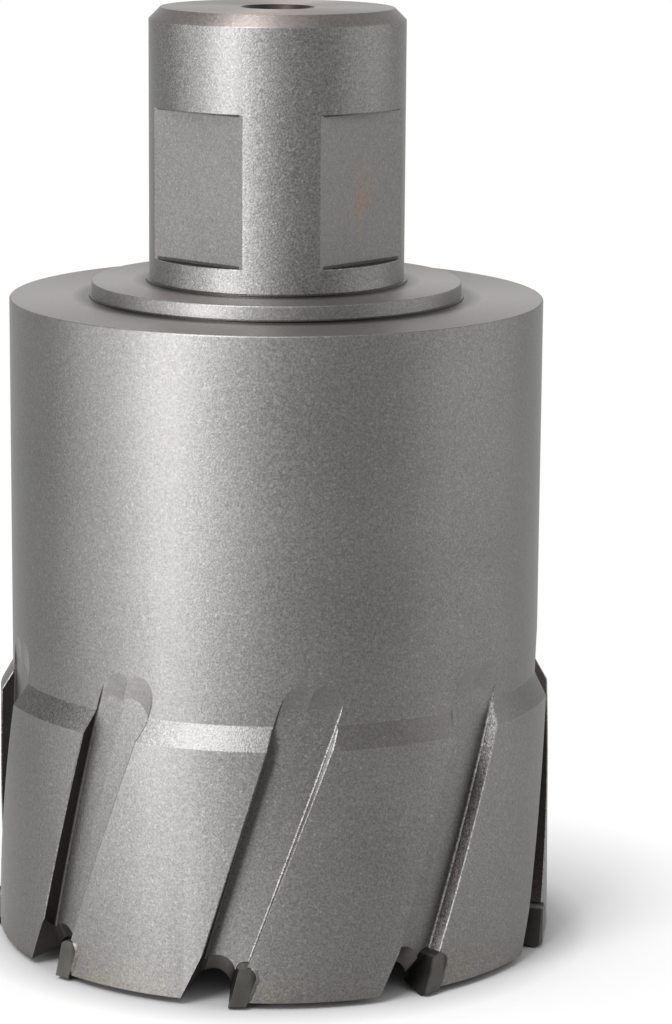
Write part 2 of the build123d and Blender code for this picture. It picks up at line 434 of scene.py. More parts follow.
@dataclass
class MillingPass:
    """One pass of the flute mill, for a tip whose corner is at angle 0.

    The cut is what an end mill with rounded corners sweeps: it climbs along a helix, square to
    the axis, and from the lift height on it rises out of the body. The rows of its grid are
    stations along the path and its columns are places across it.
    """

    sizes: CutterSizes
    helix: float
    wall_arc: float
    side: Side
    floor_mark: Surface
    runout_mark: Surface
    clearance: float = 0.9
    mill_radius: float = 2.41
    corner_radius: float = 0.3
    depth: float = 1.87
    lift_height: float = 34.25
    lift_angle: float = 5.36
    lift_length: float = 4.4
    edge_break: float = 0.13
    least_wall: float = 0.01
    least_flare: float = 0.2
    helix_start: float = -1.6
    helix_end: float = 31.6
    helix_rows: int = 29
    last_rows: Series = (31.9, 32.3, 32.7)
    front_rows: int = 7
    lift_rows: int = 11
    bottom_columns: int = 21
    corner_columns: int = 8

    @property
    def floor_radius(self) -> float:
        """Distance of the flute's flat floor from the axis."""
        return self.sizes.head_radius - self.depth

    @property
    def lean(self) -> float:
        """Angle in radians of the path at the floor, from the axis's direction."""
        return atan(tan(radians(self.helix)) * self.floor_radius / self.sizes.head_radius)

    def centre_angle(self, height: np.ndarray) -> np.ndarray:
        """Angle of the pass's middle about the axis: its outer wall's, and half the mill on.

        Args:
            height: Heights in millimetres.

        Returns:
            The angle in radians at each height.
        """
        half = self.mill_radius / cos(radians(self.helix))
        wall = (height * tan(radians(self.helix)) - self.wall_arc) / self.sizes.head_radius
        return wall + self.side * asin(half / self.sizes.head_radius)

    def place(self, across: Values, along: Values, rise: Values) -> np.ndarray:
        """Points of the sweep.

        Args:
            across: Distance from the path's middle, square to it, + onwards.
            along: Distance along the path from the lift height.
            rise: Height over the flute's floor.

        Returns:
            The points in millimetres.
        """
        height = self.lift_height + along * cos(self.lean)
        middle = self.centre_angle(height)
        offset = across * cos(self.lean)
        out = self.floor_radius + rise
        return points_at(
            out * np.sin(middle) + offset * np.cos(middle),
            -out * np.cos(middle) + offset * np.sin(middle),
            height - across * sin(self.lean),
        )

    def rim(self, sign: float, along: np.ndarray, rise: np.ndarray) -> tuple[np.ndarray, np.ndarray]:
        """Top of the wall on one side of the pass, and of the broken edge above it.

        Args:
            sign: -1 for the side that lies back and 1 for the side that lies onwards.
            along: Distance of each row along the path.
            rise: Height of the floor's border over the floor.

        Returns:
            The wall's top under the turned surface, and the edge's top at 45 degrees from it.
        """
        reach, lean = self.mill_radius, self.lean
        height = self.lift_height + along * cos(lean) - sign * reach * sin(lean)
        outside = self.sizes.outer_radius(height)
        surface = np.sqrt(outside ** 2 - (reach * cos(lean)) ** 2) - self.floor_radius
        top = np.maximum(rise + self.least_wall, surface - self.edge_break)
        flare = np.maximum(surface + self.clearance - top, self.least_flare)
        return self.place(sign * reach, along, top), self.place(sign * (reach + flare), along, top + flare)

    def patch(self) -> Patch:
        """The mill's sweep as one closed grid.

        Across the pass, t = r sin(a) under the mill's bottom of radius r, with rounded corners
        of radius c that rise by c - sqrt(c^2 - x^2), x being the distance into the corner. The
        rows climb along the helix up to the mill's round front at the lift height,
        s = sqrt(r^2 - t^2), and from there the floor rises with the lift angle. Each side gets
        a wall and a broken edge, and each row closes to a ring outside the body.

        Returns:
            The sweep's closed surface.
        """
        r, c = self.mill_radius, self.corner_radius
        bend = asin((r - c) / r)
        bottom = r * np.sin(np.linspace(-bend, bend, self.bottom_columns))
        corner = r - c + c * np.sin(np.linspace(0.0, pi / 2, self.corner_columns + 1)[1:])
        across = np.concatenate([-corner[::-1], bottom, corner])
        into = np.clip(np.abs(across) - (r - c), 0.0, c)
        corner_rise = c - np.sqrt(np.maximum(c * c - into * into, 0.0))
        front = np.sqrt(np.maximum(r * r - across * across, 0.0))

        heights = np.linspace(self.helix_start, self.helix_end, self.helix_rows)
        heights = np.concatenate([heights, self.last_rows])[:, None]
        helical = (heights - self.lift_height + across * sin(self.lean)) / cos(self.lean)
        share = np.linspace(0.0, 1.0, self.front_rows + 1)[1:, None]
        level = np.vstack([helical, helical[-1] + (front - helical[-1]) * share])
        climb = np.linspace(0.0, self.lift_length, self.lift_rows + 1)[1:, None]
        along = np.vstack([level, front + climb])
        climbed = np.vstack([0.0 * level, climb + 0.0 * front])
        rise = climbed * tan(radians(self.lift_angle)) + corner_rise

        floor = self.place(across, along, rise)
        back_wall, back_edge = self.rim(-1.0, along[:, 0], rise[:, 0])
        onward_wall, onward_edge = self.rim(1.0, along[:, -1], rise[:, -1])
        sides = (back_edge[:, None], back_wall[:, None], floor, onward_wall[:, None], onward_edge[:, None])
        grid = np.concatenate(sides, axis=1)

        marks = np.full((len(grid) - 1, grid.shape[1]), int(self.floor_mark))
        marks[len(level) - 1:] = int(self.runout_mark)
        marks[:, [0, -2, -1]] = int(Surface.EDGE)
        marks[:, 1:1 + self.corner_columns] = int(Surface.FLUTE_WALL)
        marks[:, -3 - self.corner_columns:-2] = int(Surface.FLUTE_WALL)
        return tube_patch(grid, marks, Surface.EDGE, True)


@dataclass
class ShankFlat:
    """One flat of the shank, milled square to the direction -Y."""

    sizes: CutterSizes
    depth: float = 1.835
    edge_break: float = 0.12
    clearance: float = 0.8
    least_ledge: float = 0.02
    least_flare: float = 0.3
    half_width: float = 9.8425
    columns: int = 49
    angles: Pair = (-43.0, 47.0)

    def patch(self) -> Patch:
        """The flat's cut: a closed band of six rows over x from one side to the other.

        Each row is a line at depth y(x): the flat itself at its two ledges, then the ledges up
        to the round shank, sqrt(R^2 - x^2) less the break, then outwards at 45 degrees.

        Returns:
            The cut's closed surface.
        """
        z = self.sizes
        flat, low, high = z.shank_radius - self.depth, z.flat_bottom, z.flat_top
        x = np.linspace(-1.0, 1.0, self.columns) * self.half_width
        round_wall = np.sqrt(z.shank_radius ** 2 - x * x)
        ledge = np.maximum(round_wall - self.edge_break, flat + self.least_ledge)
        flare = np.maximum(round_wall + self.clearance - ledge, self.least_flare)
        rows = (
            (ledge + flare, low - flare),
            (ledge, low),
            (flat, low),
            (flat, high),
            (ledge, high),
            (ledge + flare, high + flare),
        )
        grid = np.stack([points_at(x, -out, height) for out, height in rows])
        marks = np.full((len(rows), self.columns - 1), int(Surface.FLAT))
        marks[[0, -2, -1]] = int(Surface.EDGE)
        return tube_patch(grid, marks, Surface.EDGE, False)


@dataclass
class Gullet:
    """The round-ended notch in front of a tip whose corner is at angle 0."""

    sizes: CutterSizes
    radius: float = 2.2
    crown_height: float = 10.15
    front_lean: float = 26.0
    rake_lean: float = 14.0
    foot: float = -6.0
    drop_angle: float = 55.6
    skew_angle: float = 28.4
    overrun: float = 1.5
    arc_steps: int = 28

    def patch(self) -> Patch:
        """The outline at the tip's outer corner, carried inwards and down in a straight line.

        Returns:
            The notch's closed surface.
        """
        rake, front = radians(self.rake_lean), radians(self.front_lean)
        up = self.crown_height - self.radius
        centre = np.array([up * tan(rake) - self.radius / cos(rake), up])
        outline = crowned_outline(centre, self.radius, (rake, front), self.foot, self.arc_steps)
        thickness = self.sizes.cutting_radius - self.sizes.core_radius
        depth = np.array([[-self.overrun], [thickness + self.overrun]])
        grid = points_at(
            outline[:, 0] - depth * tan(radians(self.skew_angle)),
            depth - self.sizes.cutting_radius,
            outline[:, 1] - depth * tan(radians(self.drop_angle)),
        )
        return tube_patch(grid, int(Surface.GULLET), Surface.GULLET, True)


@dataclass
class Pocket:
    """The leaning, round-topped slot that a tip whose corner is at angle 0 sits in."""

    sizes: CutterSizes
    front_lean: float = 14.0
    rear_lean: float = 20.0
    crown_width: float = 2.45
    height: float = 5.3
    front_stock: float = 0.12
    skew_angle: float = 10.0
    gap: float = 0.05
    overrun: float = 1.5
    arc_steps: int = 20

    @property
    def crown_radius(self) -> float:
        """Radius of the tip's crown, without the gap round it."""
        return self.crown_width / 2

    @property
    def crown_centre(self) -> np.ndarray:
        """Centre of the crown, across the slot and up."""
        lean, up = radians(self.front_lean), self.height - self.crown_radius
        return np.array([up * tan(lean) + self.crown_radius / cos(lean) - self.front_stock, up])

    def place(self, across: Values, depth: Values, height: Values) -> np.ndarray:
        """Points of the slot.

        Args:
            across: Place across the slot.
            depth: Depth inwards along it, from the cutting circle.
            height: Height over the tips' lowest points.

        Returns:
            The points in millimetres.
        """
        skew = radians(self.skew_angle)
        return points_at(
            across * cos(skew) - depth * sin(skew),
            -self.sizes.cutting_radius + across * sin(skew) + depth * cos(skew),
            height,
        )

    def patch(self) -> Patch:
        """The slot's outline, with the gap all round, carried straight inwards along it.

        Returns:
            The slot's closed surface.
        """
        leans = (radians(self.rear_lean), radians(self.front_lean))
        reach = self.crown_radius + self.gap
        outline = crowned_outline(self.crown_centre, reach, leans, -self.overrun, self.arc_steps)
        thickness = self.sizes.cutting_radius - self.sizes.core_radius
        depth = np.array([[-self.overrun], [thickness + self.overrun]])
        grid = self.place(outline[:, 0], depth, outline[:, 1])
        return tube_patch(grid, int(Surface.POCKET), Surface.POCKET, True)


@dataclass
class BrazeBead:
    """The bead of braze that fills the corner between a tip's proud side and the steel.

    Its section is a ring of points, each with an offset from the slot's side in shares of the
    width and a lift over the turned surface in shares of the rise. The points beyond half the
    width lie one toe further out, so that the tapered ends don't close to a line. The waves of
    the width have a height, a rate per millimetre and a phase.
    """

    sizes: CutterSizes
    pocket: Pocket
    width: float = 0.34
    rise: float = 0.2
    steps: int = 40
    start_height: float = 0.35
    crown_turn: float = 62.0
    taper_share: float = 0.1
    least_taper: float = 0.05
    toe: float = 0.03
    offsets: Series = (-0.04, 0.12, 0.45, 1.0, 1.0, -0.04)
    lifts: Series = (1.0, 0.72, 0.28, 0.02, -1.2, -1.2)
    waves: tuple[Series, ...] = ((0.14, 5.3, 0.4), (0.1, 13.7, 0.0))

    def path(self) -> tuple[np.ndarray, np.ndarray, np.ndarray]:
        """Path of the bead up the rear side of the slot and round the crown.

        Returns:
            Distance along the path, and at each step the point and the direction away from
            the slot, both across the slot and up.
        """
        lean, half = radians(self.pocket.rear_lean), self.pocket.crown_radius
        centre = self.pocket.crown_centre
        corner = centre + half * np.array([cos(lean), -sin(lean)])
        straight = (corner[1] - self.sizes.face_height - self.start_height) / cos(lean)
        way = np.linspace(0.0, straight + half * (radians(self.crown_turn) + lean), self.steps)
        turn = np.clip((way - straight) / half, 0.0, None) - lean
        normal = np.stack([np.cos(turn), np.sin(turn)], axis=-1)
        below = np.clip(straight - way, 0.0, None)[:, None]
        return way, centre + half * normal - below * np.array([sin(lean), cos(lean)]), normal

    def patch(self) -> Patch:
        """The bead for a tip whose corner is at angle 0, as a closed tube.

        Each point of the section goes along the slot to the depth at which its distance from
        the axis is R(z) plus its lift, where R(z) is the turned surface. With m the place
        along the slot and f the squared distance from the axis at depth 0, that depth is
        -m - sqrt(m^2 - f + R^2). The width is wavy, and both ends taper to nothing.

        Returns:
            The bead's closed surface.
        """
        way, side, normal = self.path()
        skew = radians(self.pocket.skew_angle)
        share = way / way[-1]
        taper = np.sqrt(np.clip(np.minimum(share, 1.0 - share) / self.taper_share, 0.0, 1.0))
        wave = 1.0 + sum(size * np.sin(rate * way + phase) for size, rate, phase in self.waves)
        offset, lift = np.array(self.offsets)[:, None], np.array(self.lifts)[:, None]
        reach = offset * (self.width * wave * taper) + np.where(offset > 0.5, self.toe, 0.0)
        point = side + normal * reach[..., None]
        across, up = point[..., 0], point[..., 1]
        surface = self.sizes.outer_radius(up) + self.rise * lift * np.maximum(taper, self.least_taper)
        start = self.pocket.place(across, 0.0, up)
        along = -start[..., 0] * sin(skew) + start[..., 1] * cos(skew)
        flat = start[..., 0] ** 2 + start[..., 1] ** 2
        depth = -along - np.sqrt(np.maximum(along ** 2 - flat + surface ** 2, 0.0))
        return tube_patch(self.pocket.place(across, depth, up), int(Surface.EDGE), Surface.EDGE, False)

    def build(self) -> bpy.types.Object:
        """Makes the beads of all the tips as one piece.

        Returns:
            The piece, smooth all over.
        """
        bead = mesh_object("braze_bead", self.patch().repeated(self.sizes.tip_angles))
        bead.data.materials.clear()
        bead.data.polygons.foreach_set("use_smooth", np.ones(len(bead.data.polygons), dtype=bool))
        return bead


@dataclass
class Faces:
    """Kind, direction and middle in millimetres of every face of the body, as whole arrays."""

    kind: np.ndarray
    normal: np.ndarray
    centre: np.ndarray

    @classmethod
    def of(cls, mesh: bpy.types.Mesh) -> "Faces":
        """Reads the faces of a mesh that has the attribute "surface".

        Args:
            mesh: The body's mesh.

        Returns:
            Its faces.
        """
        count = len(mesh.polygons)
        kind = np.empty(count, dtype=np.int32)
        mesh.attributes["surface"].data.foreach_get("value", kind)
        normal, centre = np.empty((2, count * 3), dtype=np.float32)
        mesh.polygons.foreach_get("normal", normal)
        mesh.polygons.foreach_get("center", centre)
        return cls(kind, normal.reshape(-1, 3), centre.reshape(-1, 3) / MM)

    @property
    def height(self) -> np.ndarray:
        """Height over the tips' lowest points."""
        return self.centre[:, 2]

    @property
    def radius(self) -> np.ndarray:
        """Distance from the axis, at least a thousandth of a millimetre."""
        return np.maximum(np.hypot(self.centre[:, 0], self.centre[:, 1]), 0.001)

    @property
    def angle(self) -> np.ndarray:
        """Angle about the axis from the camera's side in radians, + to the right."""
        return np.arctan2(self.centre[:, 0], -self.centre[:, 1])

    @property
    def onward(self) -> np.ndarray:
        """How far each face looks onwards round the axis, to the camera's right, from -1 to 1."""
        (x, y), (normal_x, normal_y) = self.centre[:, :2].T, self.normal[:, :2].T
        return (-normal_x * y + normal_y * x) / self.radius

    @property
    def outward(self) -> np.ndarray:
        """How far each face looks away from the axis, from -1 to 1."""
        (x, y), (normal_x, normal_y) = self.centre[:, :2].T, self.normal[:, :2].T
        return (normal_x * x + normal_y * y) / self.radius


@dataclass(frozen=True)
class BodyFinishAndShade:
    """Writes how grainy, how bright and how warm in colour each face of the body is, with painted light and
    shade in the brightness.

    The first eight values are limits on a face's normal: five on its upward part, then three
    on its onward part. The reaches and margins are in millimetres. The azimuths, and the
    spreads to both sides of them, are in degrees.
    """

    sizes: CutterSizes
    level: float = 0.9
    ledge: float = 0.7
    slanted: float = 0.3
    steep: float = 0.5
    cone_most: float = 0.65
    fillet: float = 0.25
    wall: float = 0.8
    gullet_front: float = 0.35
    step_reach: float = 0.16
    foot_reach: float = 0.2
    side_margin: float = 0.7
    bore_margin: float = 0.2
    # Painted highlight and shade on the trailing walls: brighter near the tips and the top, darker between,
    # and darkest at the far right.
    wall_heights: Series = (5.0, 9.0, 25.0, 30.5)
    wall_tones: Series = (1.2, 0.7, 0.55, 1.35)
    wall_warmths: Series = (0.2, 0.5, 0.7, 0.0)
    far_azimuth: float = 78.0
    far_spread: float = 20.0
    far_scale: Series = (0.4, 0.45, 1.0)
    # Painted light and shade on the cone: its brightness changes round the azimuth.
    cone_azimuths: Series = (-175.0, -130.0, -50.0, -36.0, -5.0, 12.0, 60.0, 90.0)
    cone_grains: Series = (1.35, 2.4, 2.4, 1.5, 1.5, 0.9, 0.9, 1.35)
    cone_tones: Series = (0.88, 0.6, 0.6, 0.88, 0.88, 0.77, 0.8, 0.88)
    cone_warmths: Series = (0.1, 0.12, 0.12, 0.0, 0.0, 0.22, 0.2, 0.1)
    # Painted light and shade on the flat rings: brightness that changes round the azimuth.
    ring_tone: float = 1.48
    ring_swing: float = 0.4
    # Painted shadow of the leading wall on the front flutes' floors
    shade_heights: Series = (2.0, 30.0, 32.0, 36.0)
    shade_widths: Series = (0.8, 1.45, 1.3, -0.3)
    shade_border: Series = (-0.2, 0.3)
    shade_tone: float = 0.47
    shade_azimuth: float = 20.0
    shade_spread: float = 42.0

    def zones(self, faces: Faces) -> list[tuple[np.ndarray, Zone]]:
        """Faces with a finish or painted light and shade of their own; a later zone goes over an earlier
        one.

        Args:
            faces: The body's faces.

        Returns:
            Pairs of the faces' mask and their zone.
        """
        z = self.sizes
        height, radius, onward, upward = faces.height, faces.radius, faces.onward, faces.normal[:, 2]
        turned = faces.kind == Surface.TURNED
        flat = faces.kind == Surface.FLAT
        wall = faces.kind == Surface.FLUTE_WALL
        gullet = faces.kind == Surface.GULLET
        level = turned & (upward > self.level)
        upright = turned & (np.abs(upward) < self.slanted)
        steep = turned & (np.abs(upward) < self.steep)
        shank = turned & (height > z.foot_top)
        chamfer = shank & (upward > self.slanted) & (upward < self.level)
        step_side = steep & (np.abs(height - (z.body_top + z.step_top) / 2) < self.step_reach)
        foot_side = steep & (np.abs(height - (z.flange_top + z.foot_top) / 2) < self.foot_reach)
        return [
            (shank, Zone.SHANK),
            (upright & (height < z.collar_top), Zone.COLLAR),
            (level, Zone.FLAT_RING),
            (level & shank, Zone.SHANK_END),
            (chamfer, Zone.SHANK_CHAMFER),
            (step_side & (radius < z.step_radius + self.side_margin), Zone.STEP_SIDE),
            (foot_side & (radius < z.foot_radius + self.side_margin), Zone.FOOT_SIDE),
            (turned & (radius < z.mouth_radius + self.bore_margin), Zone.PILOT_BORE),
            (flat & (faces.normal[:, 0] > 0.0), Zone.RIGHT_FLAT),
            (flat & (np.abs(upward) > self.ledge), Zone.FLAT_LEDGE),
            (wall & (onward > self.fillet), Zone.WALL_FILLET),
            (wall & (onward > self.wall), Zone.LEADING_WALL),
            (gullet & (onward > self.gullet_front), Zone.GULLET_FRONT),
        ]

    def shade(self, faces: Faces) -> np.ndarray:
        """Painted shadow of the leading wall: how much darker the front flutes' floors are along it.

        With the angle a of a face behind a tip, u = a R - z tan(helix) + w is its distance from
        the wall, modulo the tips' spacing. The dark strip widens from the tips to the cone, and
        runs out above it.

        Args:
            faces: The body's faces.

        Returns:
            The factor on each face's brightness.
        """
        z = self.sizes
        height, angle = faces.height, faces.angle
        behind = (angle - radians(z.first_tip_angle)) * z.head_radius
        from_wall = behind - height * tan(radians(z.leading_helix)) + z.leading_wall_arc
        from_wall = np.mod(from_wall, 2 * pi / z.tip_count * z.head_radius)
        width = np.interp(height, self.shade_heights, self.shade_widths)
        strip = np.interp(from_wall - width, self.shade_border, [self.shade_tone, 1.0])
        in_front = np.abs(np.degrees(angle) - self.shade_azimuth) < self.shade_spread
        return np.where((faces.kind == Surface.LEADING_FLUTE) & in_front, strip, 1.0)

    def write(self, mesh: bpy.types.Mesh) -> None:
        """Writes the attributes "grain", "tone" and "warm" on the body's faces.

        Over that of its kind or zone, a face's finish follows the height on the trailing
        walls, which are painted darkest at the far right, and the azimuth on the cone and on the
        flat rings. These changes of brightness are painted light and shade.

        Args:
            mesh: The body's mesh with its surface numbers.
        """
        z = self.sizes
        faces = Faces.of(mesh)
        finish_and_shade = np.array([FINISH_AND_SHADE[surface] for surface in Surface], dtype=np.float32)[faces.kind]
        for place, zone in self.zones(faces):
            finish_and_shade[place] = zone.value
        # Painted shadow along the leading walls.
        finish_and_shade[:, 1] *= self.shade(faces)

        height, azimuth, upward = faces.height, np.degrees(faces.angle), faces.normal[:, 2]
        # Painted highlight and shade on the trailing walls: brightness by height, darkest at the far right.
        rear = (faces.kind == Surface.FLUTE_WALL) & (faces.onward < -self.fillet)
        rear &= faces.outward < self.fillet
        finish_and_shade[rear, 1] = np.interp(height[rear], self.wall_heights, self.wall_tones)
        finish_and_shade[rear, 2] = np.interp(height[rear], self.wall_heights, self.wall_warmths)
        far = rear & (np.abs(azimuth - self.far_azimuth) < self.far_spread)
        finish_and_shade[far] *= self.far_scale
        finish_and_shade[far, 2] = 1.0

        turned = faces.kind == Surface.TURNED
        # Painted light and shade: the flat rings' brightness follows the azimuth.
        ring = turned & (upward > self.level) & (height < z.foot_top)
        finish_and_shade[ring, 1] = self.ring_tone - self.ring_swing * np.cos(np.radians(2.0 * azimuth[ring]))
        # Painted light and shade: the cone's brightness follows its azimuth.
        cone = turned & (upward > self.slanted) & (upward < self.cone_most) & (height < z.cone_top)
        for column, values in enumerate((self.cone_grains, self.cone_tones, self.cone_warmths)):
            finish_and_shade[cone, column] = np.interp(azimuth[cone], self.cone_azimuths, values)
        for name, values in zip(("grain", "tone", "warm"), finish_and_shade.T):
            layer = mesh.attributes.new(name, "FLOAT", "FACE")
            layer.data.foreach_set("value", np.ascontiguousarray(values))


@dataclass
class SteelBody:
    """The whole steel body: the turned blank with its milled cuts taken out.

    An edge is sharp where two kinds of surface meet, unless their faces turn by less than the
    seam angle, and where any faces turn by more than the sharp angle. Both are in degrees.
    """

    sizes: CutterSizes
    sharp_angle: float = 28.0
    seam_angle: float = 0.6875
    trailing_clearance: float = 1.2

    def cuts(self) -> dict[str, Patch]:
        """Every kind of cut, each kind as one set of separate closed shapes.

        Returns:
            The sets by name, in the order in which they are cut.
        """
        z = self.sizes
        leading = MillingPass(
            z,
            helix=z.leading_helix,
            wall_arc=z.leading_wall_arc,
            side=Side.ONWARD,
            floor_mark=Surface.LEADING_FLUTE,
            runout_mark=Surface.LEADING_RUNOUT,
        )
        trailing = MillingPass(
            z,
            helix=z.trailing_helix,
            wall_arc=z.trailing_wall_arc,
            side=Side.BACKWARD,
            floor_mark=Surface.TRAILING_FLUTE,
            runout_mark=Surface.TRAILING_RUNOUT,
            clearance=self.trailing_clearance,
        )
        flat = ShankFlat(z)
        return {
            "leading_pass": leading.patch().repeated(z.tip_angles),
            "trailing_pass": trailing.patch().repeated(z.tip_angles),
            "pocket": Pocket(z).patch().repeated(z.tip_angles),
            "gullet": Gullet(z).patch().repeated(z.tip_angles),
            "flat": flat.patch().repeated(list(flat.angles)),
        }

    def build(self) -> bpy.types.Object:
        """Mills the blank and leaves one clean mesh.

        Returns:
            The body's object, with its surface numbers, finish and painted light and shade as attributes of
            its faces.
        """
        body = mesh_object("steel_body", TurnedBlank(self.sizes).patch())
        for name, patch in self.cuts().items():
            cutter = mesh_object(name, patch)
            cut = body.modifiers.new(name, "BOOLEAN")
            cut.operation = "DIFFERENCE"
            cut.solver = "MANIFOLD"
            cut.object = cutter
            view = bpy.context.evaluated_depsgraph_get()
            result = bpy.data.meshes.new_from_object(body.evaluated_get(view))
            body.modifiers.remove(cut)
            old = body.data
            body.data = result
            bpy.data.meshes.remove(old)
            bpy.data.objects.remove(cutter)
            log.info("cut %s: %d faces", name, len(result.polygons))
        body.data.name = "steel_body"
        self.smooth(body.data)
        BodyFinishAndShade(self.sizes).write(body.data)
        body.data.update()
        return body

    def smooth(self, mesh: bpy.types.Mesh) -> None:
        """Turns the marker materials into surface numbers, and smooths all but the sharp edges.

        Args:
            mesh: The milled body's mesh.
        """
        numbers = np.array([int(slot.name.split("_")[1]) for slot in mesh.materials], dtype=np.int32)
        index = np.empty(len(mesh.polygons), dtype=np.int32)
        mesh.polygons.foreach_get("material_index", index)
        mark = mesh.attributes.new("surface", "INT", "FACE")
        mark.data.foreach_set("value", numbers[index])
        mesh.materials.clear()

        shell = bmesh.new()
        shell.from_mesh(mesh)
        bmesh.ops.remove_doubles(shell, verts=shell.verts, dist=MERGE_DISTANCE)
        bmesh.ops.dissolve_degenerate(shell, edges=shell.edges, dist=MERGE_DISTANCE)
        layer = shell.faces.layers.int["surface"]
        limit, seam = radians(self.sharp_angle), radians(self.seam_angle)
        for edge in shell.edges:
            pair = [face[layer] for face in edge.link_faces]
            turn = edge.calc_face_angle(pi)
            edge.smooth = len(pair) == 2 and turn < limit and (pair[0] == pair[1] or turn < seam)
        shell.to_mesh(mesh)
        shell.free()
        mesh.polygons.foreach_set("use_smooth", np.ones(len(mesh.polygons), dtype=bool))


class Nodes:
    """Short way to write a material's or the world's nodes."""

    def __init__(self, owner: bpy.types.Material | bpy.types.World) -> None:
        """Empties the owner's node tree.

        Args:
            owner: The material or world whose nodes are written.
        """
        owner.use_nodes = True
        self.tree = owner.node_tree
        self.tree.nodes.clear()

    def add(self, kind: str, settings: dict | None = None, **inputs: object) -> bpy.types.Node:
        """Adds a node.

        Args:
            kind: The node's type name.
            settings: Properties of the node itself.
            inputs: Values or sockets for the node's inputs, with _ for a space; in_0 means
                the first input, whatever its name.

        Returns:
            The node.
        """
        node = self.tree.nodes.new(kind)
        for name, value in (settings or {}).items():
            setattr(node, name, value)
        for name, value in inputs.items():
            key = int(name[3:]) if name.startswith("in_") else name.replace("_", " ")
            if isinstance(value, Socket):
                self.tree.links.new(value, node.inputs[key])
            else:
                node.inputs[key].default_value = value
        return node

    def place(self) -> Socket:
        """Object coordinates."""
        return self.add("ShaderNodeTexCoord").outputs["Object"]

    def parts(self, place: Socket) -> tuple[Socket, Socket, Socket]:
        """The X, Y and Z of a place."""
        return tuple(self.add("ShaderNodeSeparateXYZ", Vector=place).outputs)

    def math(self, operation: str, first: object, second: object = 0.0) -> Socket:
        """Result of a sum on one or two values or sockets."""
        return self.add("ShaderNodeMath", {"operation": operation}, in_0=first, in_1=second).outputs[0]

    def vector(self, operation: str, first: object, second: object = (0.0, 0.0, 0.0)) -> Socket:
        """Result of a sum on one or two vectors; a LENGTH gives a plain value."""
        node = self.add("ShaderNodeVectorMath", {"operation": operation}, in_0=first, in_1=second)
        return node.outputs["Value" if operation == "LENGTH" else "Vector"]

    def radius(self, place: Socket) -> Socket:
        """Distance of a place from the axis."""
        x, y, _ = self.parts(place)
        return self.vector("LENGTH", self.add("ShaderNodeCombineXYZ", X=x, Y=y).outputs[0])

    def span(self, value: object, low: float, high: float, start: float = 0.0, end: float = 1.0) -> Socket:
        """Carries low..high over to start..end and holds it there."""
        ends = {"From_Min": low, "From_Max": high, "To_Min": start, "To_Max": end}
        return self.add("ShaderNodeMapRange", Value=value, **ends).outputs[0]

    def fade(self, value: Socket, reach: Series, start: float, end: float, base: float = 0.0) -> Socket:
        """Carries a distance in metres over to start..end.

        Args:
            value: The distance.
            reach: Where the fade starts and ends, in millimetres past the base.
            start: Result up to the start of the fade.
            end: Result from its end on.
            base: Distance in millimetres that the reach is added to.

        Returns:
            The socket of the result.
        """
        return self.span(value, (base + reach[0]) * MM, (base + reach[1]) * MM, start, end)

    def noise(self, place: object, size: float, detail: float = 2.0) -> Socket:
        """Noise from 0 to 1 whose grains are about a size in millimetres."""
        scale = 1.0 / (size * MM)
        return self.add("ShaderNodeTexNoise", Vector=place, Scale=scale, Detail=detail).outputs[0]

    def sway(self, noise: Socket, reach: float, middle: float = 0.0) -> Socket:
        """Carries noise's usual range, 0.3..0.7, over to a reach on both sides of a middle."""
        return self.span(noise, 0.3, 0.7, middle - reach, middle + reach)

    def blend(self, factor: object, first: object, second: object, way: str = "MIX") -> Socket:
        """Mixes two colours.

        Args:
            factor: Share of the second colour.
            first: The first colour, as a socket or three numbers.
            second: The second colour, in the same way.
            way: Name of the blend.

        Returns:
            The socket of the mixed colour.
        """
        node = self.add("ShaderNodeMix", {"data_type": "RGBA", "blend_type": way}, in_0=factor)
        for key, value in ((6, first), (7, second)):
            if isinstance(value, Socket):
                self.tree.links.new(value, node.inputs[key])
            else:
                node.inputs[key].default_value = (*value, 1.0)
        return node.outputs[2]

    def grey(self, value: Socket) -> Socket:
        """Grey with the same value in its three channels."""
        return self.add("ShaderNodeCombineColor", Red=value, Green=value, Blue=value).outputs[0]

    def seen(self) -> Socket:
        """Share of the rays that show the background.

        Returns:
            A socket: 1 for the camera's, glossy and transmitted rays, and 0 for the others.
        """
        path = self.add("ShaderNodeLightPath").outputs
        seen = self.math("ADD", path["Is Camera Ray"], path["Is Glossy Ray"])
        return self.math("MINIMUM", self.math("ADD", seen, path["Is Transmission Ray"]), 1.0)

    def bump(self, height: Socket, strength: float, depth: float) -> Socket:
        """Normal of a surface with a relief of a depth in millimetres."""
        return self.add("ShaderNodeBump", Strength=strength, Distance=depth * MM, Height=height).outputs[0]

    def metal(self, **inputs: object) -> None:
        """Ends the material with a metal shader that takes the given inputs."""
        shader = self.add("ShaderNodeBsdfPrincipled", Metallic=1.0, **inputs)
        self.add("ShaderNodeOutputMaterial", Surface=shader.outputs[0])


